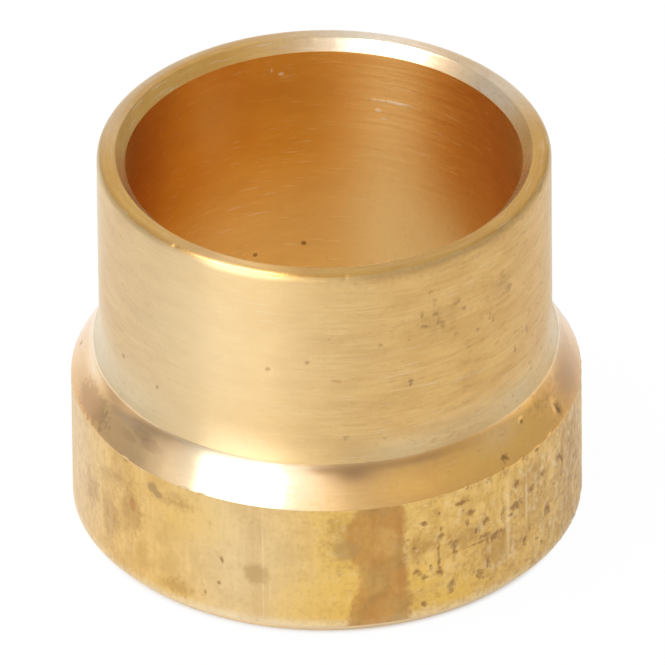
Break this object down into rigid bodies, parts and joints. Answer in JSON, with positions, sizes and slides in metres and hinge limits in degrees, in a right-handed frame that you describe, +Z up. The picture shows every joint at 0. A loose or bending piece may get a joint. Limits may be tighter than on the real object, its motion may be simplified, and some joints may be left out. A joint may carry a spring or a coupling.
{
  "type": "compression olive",
  "caption": "Turned brass sleeve olive: a thick collar, a conical sealing shoulder and a thin plain skirt round a straight through bore that slides onto a tube.",
  "frame": {"origin": "centre of the collar's flat face, on the bore axis", "axes": "+Z up along the bore axis, from the collar face to the rim; X and Y are free, because the part is round"},
  "size_m": [0.0195, 0.0194, 0.0157],
  "materials": {
    "brass": "turned brass, half bright, with fine circular tool marks, light tarnish, stains and small pits"
  },
  "bodies": {
    "root": {"olive": "brass"}
  },
  "joints": []
}
